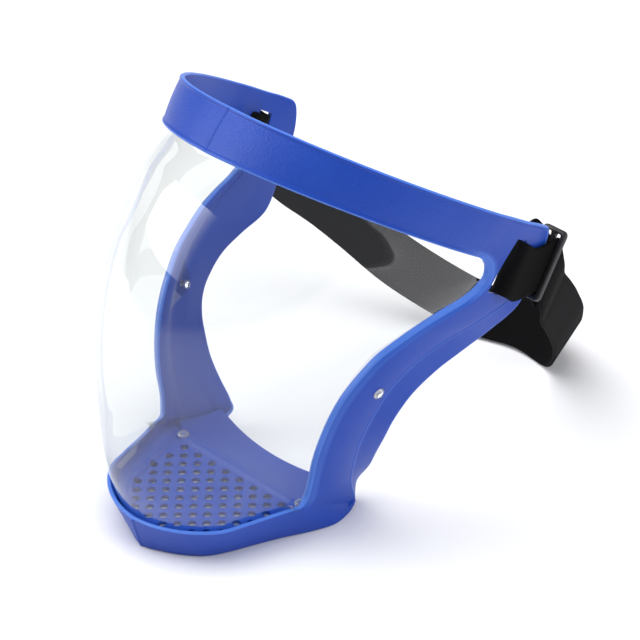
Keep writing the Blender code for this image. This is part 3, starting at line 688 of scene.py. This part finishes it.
def build_visor():
    """Clear, doubly curved sheet tucked in behind the window's edge."""
    sizes, colours = settings()
    angles = [math.pi / 2 * k / VISOR_COLUMNS for k in range(VISOR_COLUMNS + 1)]
    shares = [k / VISOR_ROWS for k in range(VISOR_ROWS + 1)]
    ends = []
    for share, stations in ((0, (0, EAR_CORNER)), (1, (LAST, CHIN_CORNER))):
        rail, middle = visor_section(share, math.pi / 2), midline(share)
        row = [visor_section(share, angle) for angle in angles]
        places = [section_place(stations, point, rail, middle) for point in row]
        ends.append((places, [frame_lines(at)[0] - point for at, point in zip(places, row)]))
    (top_places, top_shift), (chin_places, chin_shift) = ends
    grid = np.array([[visor_section(share, angle) + (1 - share) ** 2 * top_shift[k] + share ** 2 * chin_shift[k]
                      for k, angle in enumerate(angles)] for share in shares], float)
    down, side = np.gradient(grid, axis=0), np.gradient(grid, axis=1)
    side[:, 0] = (1, 0, 0)
    down[:, 0, 0] = 0
    edge = np.concatenate([grid[0], grid[:, -1], grid[-1]])
    distance = np.linalg.norm(grid[:, :, None] - edge, axis=-1).min(axis=-1)
    grid -= unit(np.cross(down, side)) * step_in(distance, sizes.wall + 0.8)[..., None]
    grid[:, 0, 0] = 0
    side_places = [EAR_CORNER + (CHIN_CORNER - EAR_CORNER) * share for share in shares]
    builder = bmesh.new()
    verts = [[builder.verts.new(point) for point in row] for row in grid.tolist()]
    for upper, lower in zip(verts, verts[1:]):
        for k in range(VISOR_COLUMNS):
            builder.faces.new((upper[k], lower[k], lower[k + 1], upper[k + 1]))
    border = [(verts[0][k], top_places[k]) for k in range(VISOR_COLUMNS)]
    border += [(verts[k][-1], side_places[k]) for k in range(VISOR_ROWS + 1)]
    border += [(verts[-1][k], chin_places[k]) for k in reversed(range(VISOR_COLUMNS))]
    inner = [vert for vert, _ in border]
    start = [vert.co.copy() for vert in inner]
    for step in range(1, TUCK_STEPS + 1):
        outer = []
        for base, (_, place) in zip(start, border):
            window, crease, _ = frame_lines(place)
            reach = (crease - window).normalized() * tuck_depth(place) * step / TUCK_STEPS
            outer.append(builder.verts.new(base + reach))
        outer[0].co.x = outer[-1].co.x = 0
        for k in range(len(border) - 1):
            builder.faces.new((outer[k], inner[k], inner[k + 1], outer[k + 1]))
        inner = outer
    builder.transform(Matrix.Scale(MM, 4))
    mesh = bpy.data.meshes.new("visor_sheet")
    builder.to_mesh(mesh)
    builder.free()
    mesh.materials.append(clear_sheet("polycarbonate_formed", colours.clear, 1.75, 0.03))
    mesh.shade_smooth()
    piece = bpy.data.objects.new("visor_sheet", mesh)
    bpy.context.scene.collection.objects.link(piece)
    mirror = piece.modifiers.new("mirror", "MIRROR")
    mirror.merge_threshold = 0.0001
    solid = piece.modifiers.new("thickness", "SOLIDIFY")
    solid.thickness = sizes.visor * MM
    solid.offset = -1
    keep_modified(piece)
    holes = bmesh.new()
    for side in (-1, 1):
        point, normal = frame_wall(RIVET_STATION, RIVET_ACROSS)
        add_rod(holes, mirrored(point, side), mirrored(normal, side), RIVET_HOLE, 12)
    cut_away(piece, holes)
    piece.data.set_sharp_from_angle(angle=math.radians(50))
    return piece


def build_rivet(name, seat, normal, grip):
    """Clear push rivet: faceted head, shank through the grip length, small flange behind."""
    shank, head, flange = 1.5, 3.1, 2.4
    profile = [(0, 1.7), (1.3, 1.65), (2.3, 1.2), (head, 0.5), (head, 0.1), (shank, 0.1),
               (shank, -grip), (flange, -grip), (flange, -grip - 0.8), (0, -grip - 0.8)]
    facets = 10
    turns = [2 * math.pi * k / facets for k in range(facets)]
    grid = np.array([[(radius * math.cos(turn), radius * math.sin(turn), height) for turn in turns]
                     for radius, height in profile])
    piece = grid_object(name, grid, bpy.data.materials["acrylic_moulded"], wrap_columns=True)
    builder = bmesh.new()
    builder.from_mesh(piece.data)
    bmesh.ops.remove_doubles(builder, verts=builder.verts, dist=0.01 * MM)
    bmesh.ops.recalc_face_normals(builder, faces=builder.faces)
    turn = normal.to_track_quat("Z", "Y").to_matrix().to_4x4()
    builder.transform(Matrix.Translation(seat * MM) @ turn)
    builder.to_mesh(piece.data)
    builder.free()
    piece.data.set_sharp_from_angle(angle=math.radians(15))
    return piece


def skirt_half_width():
    """Inner half width of the chin skirt at floor height, as matching arrays of y and x."""
    ys, xs = [], []
    for step in range(90):
        place = LAST - step * 0.12
        window, crease, _ = frame_lines(place)
        share = (window.z - TRAY_TOP) / (window.z - crease.z)
        point, normal = frame_wall(place, share)
        inside = point - Vector((normal.x, normal.y, 0)).normalized() * 1.2
        ys.append(inside.y)
        xs.append(max(inside.x, 0))
    order = np.argsort(ys)
    return np.array(ys)[order], np.array(xs)[order]


def line_distance(points, line):
    """Distance in plan from each point to a polyline."""
    best = np.full(points.shape[:-1], 1e9)
    for start, end in zip(line, line[1:]):
        run = end - start
        share = np.clip(((points - start) @ run) / max(run @ run, 1e-9), 0, 1)
        best = np.minimum(best, np.linalg.norm(points - start - share[..., None] * run, axis=-1))
    return best


FLOOR_STEP = 0.7                # mesh spacing of the chin floor, mm
FLAP_ROWS = 26
TRAY_WALL = 2.0


def build_chin_floor():
    """Perforated chin floor in a raised frame, running back into the lip that the chin rests on."""
    sizes, _ = settings()
    ys, xs = skirt_half_width()
    front = ys[0] + 0.4
    count = int((TRAY_REAR_Y - front) / FLOOR_STEP)
    columns = np.linspace(-1, 1, 2 * int(56 / FLOOR_STEP) + 1)
    rows = []
    for y in front + (TRAY_REAR_Y - front) * (1 - np.cos(np.pi / 2 * np.arange(count + 1) / count)) ** 0.9:
        half = max(float(np.interp(y, ys, xs)), 2.5)
        rows.append([(half * column, y, 0) for column in columns])
    grid = np.array(rows, float)
    wall = np.array([(-x, y) for x, y in zip(xs[::-1], ys[::-1]) if y < TRAY_REAR_Y + 6]
                    + [(x, y) for x, y in zip(xs, ys) if y < TRAY_REAR_Y + 6])
    to_wall = line_distance(grid[..., :2], wall)
    to_rear = TRAY_REAR_Y - grid[..., 1]
    inside = np.minimum(to_wall, to_rear + 3)
    step_up = 1.3 * (1 - smooth_step(inside, 6.6, 8.2)) + 0.35 * np.exp(-((inside - 5.6) / 0.6) ** 2)
    fillet = 5 * (1 - np.sqrt(np.clip(1 - (1 - np.clip(to_wall / 5, 0, 1)) ** 2, 0, 1)))
    grid[..., 2] = TRAY_TOP - 1.3 + step_up + fillet
    flap = []
    for k in range(1, FLAP_ROWS + 1):
        share = k / FLAP_ROWS
        edge = 90 + 8 * columns ** 2
        y = TRAY_REAR_Y + (edge - TRAY_REAR_Y) * share
        half = np.interp(y, ys, xs) - 3.0 * share
        x = np.minimum(half, 47.5) * columns
        z = grid[-1, :, 2] * (1 - share) + share * TRAY_TOP - 4.0 * math.sin(math.pi / 2 * share)
        flap.append(np.stack([x, y, z + 2.0 * columns ** 2 * share], axis=-1))
    top = np.concatenate([grid, np.array(flap)])
    bottom = top - np.array((0, 0, TRAY_WALL))
    piece = slab_object("chin_floor", top, bottom, bpy.data.materials["soft_pvc_moulded"])
    holes = bmesh.new()
    for row in range(-5, 6):
        shift = HOLE_PITCH[0] / 2 * (row % 2)
        for column in range(-4, 5):
            x, y = column * HOLE_PITCH[0] + shift, 34 + row * HOLE_PITCH[1] / 2
            half = float(np.interp(y, ys, xs))
            if abs(x) < half - 8 and y > front + 4 and abs(x) < 36:
                add_rod(holes, Vector((x, y, TRAY_TOP)), Vector((0, 0, 1)), sizes.hole_radius, 14)
    cut_away(piece, holes)
    piece.data.set_sharp_from_angle(angle=math.radians(45))
    return piece


STRAP_STEP = 1.2                # mesh spacing along the strap, mm


def strap_section(half, thickness):
    """Outline of the flat strap across its width: (across, out of its plane)."""
    edge = thickness / 2
    around = [(half - edge + edge * math.sin(turn), edge * math.cos(turn))
              for turn in np.linspace(0, math.pi, 7)]
    flat = [(across, -edge) for across in np.linspace(half - edge, edge - half, 12)[1:-1]]
    return around + flat + [(-a, -b) for a, b in around] + [(-a, -b) for a, b in flat]


def strap_route():
    """Centre points and width directions of the whole strap, from its near tip to its far hem."""
    sizes, _ = settings()
    stops = [(worn(*point), math.degrees(LEAN)) for point in NEAR_END]
    for lower, lean in STRAP_PATH:
        width = Vector((0, math.sin(math.radians(lean)), math.cos(math.radians(lean))))
        stops.append((lower + width * sizes.strap_width / 2, lean))
    stops += [(worn(*point), math.degrees(LEAN)) for point in reversed(FAR_END)]
    centres = [centre for centre, _ in stops]
    fine = np.linspace(0, len(stops) - 1, 12 * len(stops))
    points = np.array([open_curve(centres, place) for place in fine])
    leans = np.interp(fine, range(len(stops)), [lean for _, lean in stops])
    run = np.concatenate([[0], np.cumsum(np.linalg.norm(np.diff(points, axis=0), axis=1))])
    even = np.linspace(0, run[-1], int(run[-1] / STRAP_STEP))
    points = np.stack([np.interp(even, run, points[:, k]) for k in range(3)], axis=-1)
    leans = np.radians(np.interp(even, run, leans))
    widths = np.stack([np.zeros_like(leans), np.sin(leans), np.cos(leans)], axis=-1)
    return points, widths, even


def build_strap():
    """Elastic strap: out through the near ear's slot, round behind the head and in at the far ear."""
    sizes, _ = settings()
    points, widths, run = strap_route()
    forward = unit(np.gradient(points, axis=0))
    out = unit(np.cross(forward, widths))
    section = strap_section(sizes.strap_width / 2, sizes.strap)
    grid = np.array([[point + width * across + normal * up for across, up in section]
                     for point, width, normal in zip(points, widths, out)])
    along = np.repeat(run[:, None], len(section), axis=1)
    across = np.repeat(np.array([[a for a, _ in section]]), len(run), axis=0)
    piece = grid_object("head_strap_elastic", grid, woven_elastic(), wrap_columns=True, along=along,
                        across=across)
    close_ends(piece)
    return piece


def build_hem():
    """Folded and sewn end of the strap inside the far ear."""
    low, high = (np.array(corner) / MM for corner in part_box("strap_stop"))
    centre = Vector((low + high) / 2)
    half_width = settings()[0].strap_width / 2
    layers, fold = 4.0, 7.0
    outline = [(math.copysign(abs(math.cos(turn)) ** 0.5, math.cos(turn)) * layers / 2,
                math.copysign(abs(math.sin(turn)) ** 0.5, math.sin(turn)) * fold / 2)
               for turn in np.linspace(0, 2 * math.pi, 29)[:-1]]
    back = worn(0, 1, 0) - worn(0, 0, 0)
    up = worn(0, 0, 1) - worn(0, 0, 0)
    rows = []
    for height in np.linspace(-1, 1, 25):
        shrink = 1 - 0.25 * smooth_step(abs(height), 0.93, 1.0)
        rows.append([centre + Vector((x * shrink, 0, 0)) + back * y * shrink + up * height * half_width
                     for x, y in outline])
    grid = np.array(rows, float)
    across = grid @ np.array(up)
    along = grid @ np.array(back)
    piece = grid_object("strap_hem", grid, bpy.data.materials["woven_elastic"], wrap_columns=True,
                        across=across, along=along)
    close_ends(piece)
    return piece


SLIDER_WIDTH, SLIDER_LENGTH, SLIDER_DEPTH = 14.5, 37.4, 3.2
SLIDER_BAR, SLIDER_END, SLIDER_ROUND = 2.6, 2.4, 0.7


def rounded_rectangle(width, height, radius, segments=6):
    """Corner points of a rounded rectangle, anticlockwise."""
    points = []
    for corner, (sx, sy) in enumerate(((1, 1), (-1, 1), (-1, -1), (1, -1))):
        for k in range(segments + 1):
            turn = math.pi / 2 * (corner + k / segments)
            points.append((sx * (width / 2 - radius) + radius * math.cos(turn),
                           sy * (height / 2 - radius) + radius * math.sin(turn)))
    return points


def build_slider():
    """Three-bar slider with rounded bars, made as an outline with two slots and a bevelled depth."""
    low, high = (Vector(corner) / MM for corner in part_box("slider"))
    centre = (low + high) / 2
    curve = bpy.data.curves.new("slider_outline", "CURVE")
    curve.dimensions = "2D"
    curve.fill_mode = "BOTH"
    slot = (SLIDER_WIDTH - 3 * SLIDER_BAR) / 2
    outlines = [(0, SLIDER_WIDTH, SLIDER_LENGTH, 2.6)]
    outlines += [(side * (slot + SLIDER_BAR) / 2, slot, SLIDER_LENGTH - 2 * SLIDER_END, 0.9)
                 for side in (-1, 1)]
    inset = SLIDER_ROUND
    for index, (shift, width, height, radius) in enumerate(outlines):
        grow = -2 * inset if index == 0 else 2 * inset
        points = rounded_rectangle(width + grow, height + grow, max(radius + grow / 2, 0.4))
        spline = curve.splines.new("POLY")
        spline.points.add(len(points) - 1)
        for point, (x, y) in zip(spline.points, points):
            point.co = ((x + shift) * MM, y * MM, 0, 1)
        spline.use_cyclic_u = True
    curve.extrude = (SLIDER_DEPTH / 2 - inset) * MM
    curve.bevel_depth = inset * MM
    curve.bevel_resolution = 3
    shape = bpy.data.objects.new("slider_outline", curve)
    bpy.context.scene.collection.objects.link(shape)
    bpy.context.view_layer.update()
    mesh = bpy.data.meshes.new_from_object(shape.evaluated_get(bpy.context.evaluated_depsgraph_get()))
    bpy.data.objects.remove(shape)
    builder = bmesh.new()
    builder.from_mesh(mesh)
    bmesh.ops.remove_doubles(builder, verts=builder.verts, dist=0.01 * MM)
    across, up = Vector((1, 0, 0)), worn(0, 0, 1) - worn(0, 0, 0)
    turn = Matrix((across, up, across.cross(up))).transposed().to_4x4()
    builder.transform(Matrix.Translation(centre * MM) @ turn)
    bmesh.ops.recalc_face_normals(builder, faces=builder.faces)
    builder.to_mesh(mesh)
    builder.free()
    mesh.materials.clear()
    mesh.materials.append(black_acetal())
    mesh.shade_smooth()
    mesh.set_sharp_from_angle(angle=math.radians(40))
    piece = bpy.data.objects.new("strap_slider_acetal", mesh)
    bpy.context.scene.collection.objects.link(piece)
    return piece


class SHIELD_OT_frame(bpy.types.Operator):
    """Build the soft frame moulding"""
    bl_idname = "shield.frame"
    bl_label = "Frame"

    def execute(self, context):
        settle(build_frame(), "shield", "frame", "frame")
        return {"FINISHED"}


class SHIELD_OT_chin_floor(bpy.types.Operator):
    """Build the perforated chin floor"""
    bl_idname = "shield.chin_floor"
    bl_label = "Chin floor"

    def execute(self, context):
        settle(build_chin_floor(), "shield", "frame", "chin_tray")
        return {"FINISHED"}


class SHIELD_OT_visor(bpy.types.Operator):
    """Build the clear visor"""
    bl_idname = "shield.visor"
    bl_label = "Visor"

    def execute(self, context):
        settle(build_visor(), "shield", "visor", "visor")
        return {"FINISHED"}


class SHIELD_OT_rivets(bpy.types.Operator):
    """Build the clear rivets at the cheeks and the pins in the chin floor"""
    bl_idname = "shield.rivets"
    bl_label = "Rivets"

    def execute(self, context):
        clear_acrylic()
        sizes, _ = settings()
        point, normal = frame_wall(RIVET_STATION, RIVET_ACROSS)
        for name, side in (("left", 1), ("right", -1)):
            rivet = build_rivet(f"cheek_rivet_{name}", mirrored(point, side) + mirrored(normal, side) * 0.9,
                                mirrored(normal, side), sizes.wall + sizes.visor + 2.3)
            settle(rivet, "shield", "rivet", f"rivet_{name}")
            low, high = (Vector(corner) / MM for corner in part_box(f"chin_pin_{name}"))
            seat = (low + high) / 2
            pin = build_rivet(f"chin_floor_pin_{name}", Vector((seat.x, seat.y, TRAY_TOP + 0.3)),
                              Vector((0, 0, 1)), TRAY_WALL + 0.6)
            settle(pin, "shield", "rivet", f"chin_pin_{name}")
        return {"FINISHED"}


class SHIELD_OT_strap(bpy.types.Operator):
    """Build the elastic head strap and its sewn hem"""
    bl_idname = "shield.strap"
    bl_label = "Strap"

    def execute(self, context):
        strap = build_strap()
        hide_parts("strap", "strap_loop", "strap_end")
        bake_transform(strap)
        settle(build_hem(), "shield", "strap", "strap_stop")
        return {"FINISHED"}


class SHIELD_OT_slider(bpy.types.Operator):
    """Build the strap slider"""
    bl_idname = "shield.slider"
    bl_label = "Slider"

    def execute(self, context):
        settle(build_slider(), "strap_slider", "slider", "slider")
        return {"FINISHED"}


CAMERA_TARGET = Vector((0, 122, 75)) * MM
CAMERA_AZIMUTH, CAMERA_ELEVATION = math.radians(45), math.radians(33)
CAMERA_DISTANCE = 1.8
CAMERA_LENS = 202.5
FLOOR_Z = -0.3


def add_softbox(name, place, aim, size, watts, tint=(1, 1, 1)):
    """Area light facing a point."""
    lamp = bpy.data.lights.new(name, "AREA")
    lamp.shape = "RECTANGLE"
    lamp.size, lamp.size_y = size
    lamp.energy = watts
    lamp.color = tint
    holder = bpy.data.objects.new(name, lamp)
    holder.location = place
    holder.rotation_euler = (Vector(aim) - Vector(place)).to_track_quat("-Z", "Y").to_euler()
    bpy.context.scene.collection.objects.link(holder)
    return holder


def fade_sideways(lamp):
    """Let one side of a lamp's face fade out, so that its reflection has a soft edge there."""
    lamp.use_nodes = True
    tree = lamp.node_tree
    tree.nodes.clear()
    face = add_node(tree, "ShaderNodeNewGeometry").outputs["Parametric"]
    split = add_node(tree, "ShaderNodeSeparateXYZ", {0: face})
    fade = add_node(tree, "ShaderNodeMapRange", {"Value": split.outputs[0], "From Min": 1.0, "From Max": 0.55},
                    interpolation_type="SMOOTHSTEP")
    light = add_node(tree, "ShaderNodeEmission", {"Strength": fade.outputs[0]})
    add_node(tree, "ShaderNodeOutputLight", {"Surface": light.outputs[0]})


def pale_floor():
    """Matt laminate sweep: even and pale, with a hint of unevenness."""
    _, colours = settings()
    material, tree = new_material("laminate_matt")
    place = add_node(tree, "ShaderNodeTexCoord").outputs["Object"]
    cloud = add_node(tree, "ShaderNodeTexNoise", {"Vector": place, "Scale": 2.0, "Detail": 2.0})
    rough = add_node(tree, "ShaderNodeMapRange", {"Value": cloud.outputs["Fac"], "To Min": 0.6, "To Max": 0.7})
    shader = add_node(tree, "ShaderNodeBsdfPrincipled",
                      {"Base Color": colours.floor, "Roughness": rough.outputs["Result"],
                       "Specular IOR Level": 0.2})
    finish_material(tree, shader.outputs[0])
    return material


class SHIELD_OT_stage(bpy.types.Operator):
    """Build the floor, the studio lights and the camera"""
    bl_idname = "shield.stage"
    bl_label = "Stage"

    def execute(self, context):
        scene = context.scene
        size = 6000.0
        corners = np.array([[(-size, -size, FLOOR_Z), (-size, size, FLOOR_Z)],
                            [(size, -size, FLOOR_Z), (size, size, FLOOR_Z)]])
        grid_object("floor", corners, pale_floor())
        world = bpy.data.worlds.new("studio")
        world.use_nodes = True
        world.node_tree.nodes.clear()
        sky = add_node(world.node_tree, "ShaderNodeBackground", {"Color": (0.94, 0.95, 1.0, 1.0),
                                                                 "Strength": 0.36})
        add_node(world.node_tree, "ShaderNodeOutputWorld", {"Surface": sky.outputs[0]})
        scene.world = world
        middle = (0, 0.1, 0.1)
        for name, place, size, watts in (("top_softbox", (-0.3, -0.1, 2.0), 2.2, 46),
                                         ("left_softbox", (-1.3, -0.9, 1.0), 1.0, 9),
                                         ("right_softbox", (1.7, 0.7, 0.9), 1.2, 16)):
            add_softbox(name, place, middle, (size, size), watts).visible_glossy = False
        # The window is for reflections only; its daylight is in the other lamps already.
        window = add_softbox("window", (-0.55, -1.2, 1.06), (0, 0.02, 0.15), (2.3, 1.15), 38)
        window.visible_diffuse = False
        fade_sideways(window.data)
        data = bpy.data.cameras.new("camera")
        data.lens = CAMERA_LENS
        data.clip_end = 50
        camera = bpy.data.objects.new("camera", data)
        back = Vector((math.sin(CAMERA_AZIMUTH) * math.cos(CAMERA_ELEVATION),
                       -math.cos(CAMERA_AZIMUTH) * math.cos(CAMERA_ELEVATION), math.sin(CAMERA_ELEVATION)))
        camera.location = CAMERA_TARGET + back * CAMERA_DISTANCE
        camera.rotation_euler = (-back).to_track_quat("-Z", "Y").to_euler()
        scene.collection.objects.link(camera)
        scene.camera = camera
        scene.view_settings.view_transform = "Standard"
        return {"FINISHED"}


class VIEW3D_PT_shield(bpy.types.Panel):
    """Sizes, colours and builders of the splash shield"""
    bl_label = "Splash Shield"
    bl_space_type = "VIEW_3D"
    bl_region_type = "UI"
    bl_category = "Shield"

    def draw(self, context):
        for group in (context.scene.shield_sizes, context.scene.shield_colours):
            box = self.layout.box()
            for key in group.bl_rna.properties.keys():
                if key not in ("rna_type", "name"):
                    box.prop(group, key)
        for operator in OPERATORS:
            self.layout.operator(operator.bl_idname)


OPERATORS = (SHIELD_OT_frame, SHIELD_OT_chin_floor, SHIELD_OT_visor, SHIELD_OT_rivets, SHIELD_OT_strap,
             SHIELD_OT_slider, SHIELD_OT_stage)
CLASSES = (ShieldSizes, ShieldColours, *OPERATORS, VIEW3D_PT_shield)


def register():
    for kind in CLASSES:
        bpy.utils.register_class(kind)
    bpy.types.Scene.shield_sizes = PointerProperty(type=ShieldSizes)
    bpy.types.Scene.shield_colours = PointerProperty(type=ShieldColours)


def unregister():
    del bpy.types.Scene.shield_colours
    del bpy.types.Scene.shield_sizes
    for kind in reversed(CLASSES):
        bpy.utils.unregister_class(kind)


def main():
    register()
    bpy.ops.shield.frame()
    bpy.ops.shield.chin_floor()
    bpy.ops.shield.visor()
    bpy.ops.shield.rivets()
    bpy.ops.shield.strap()
    bpy.ops.shield.slider()
    bpy.ops.shield.stage()


if __name__ == "__main__":
    main()
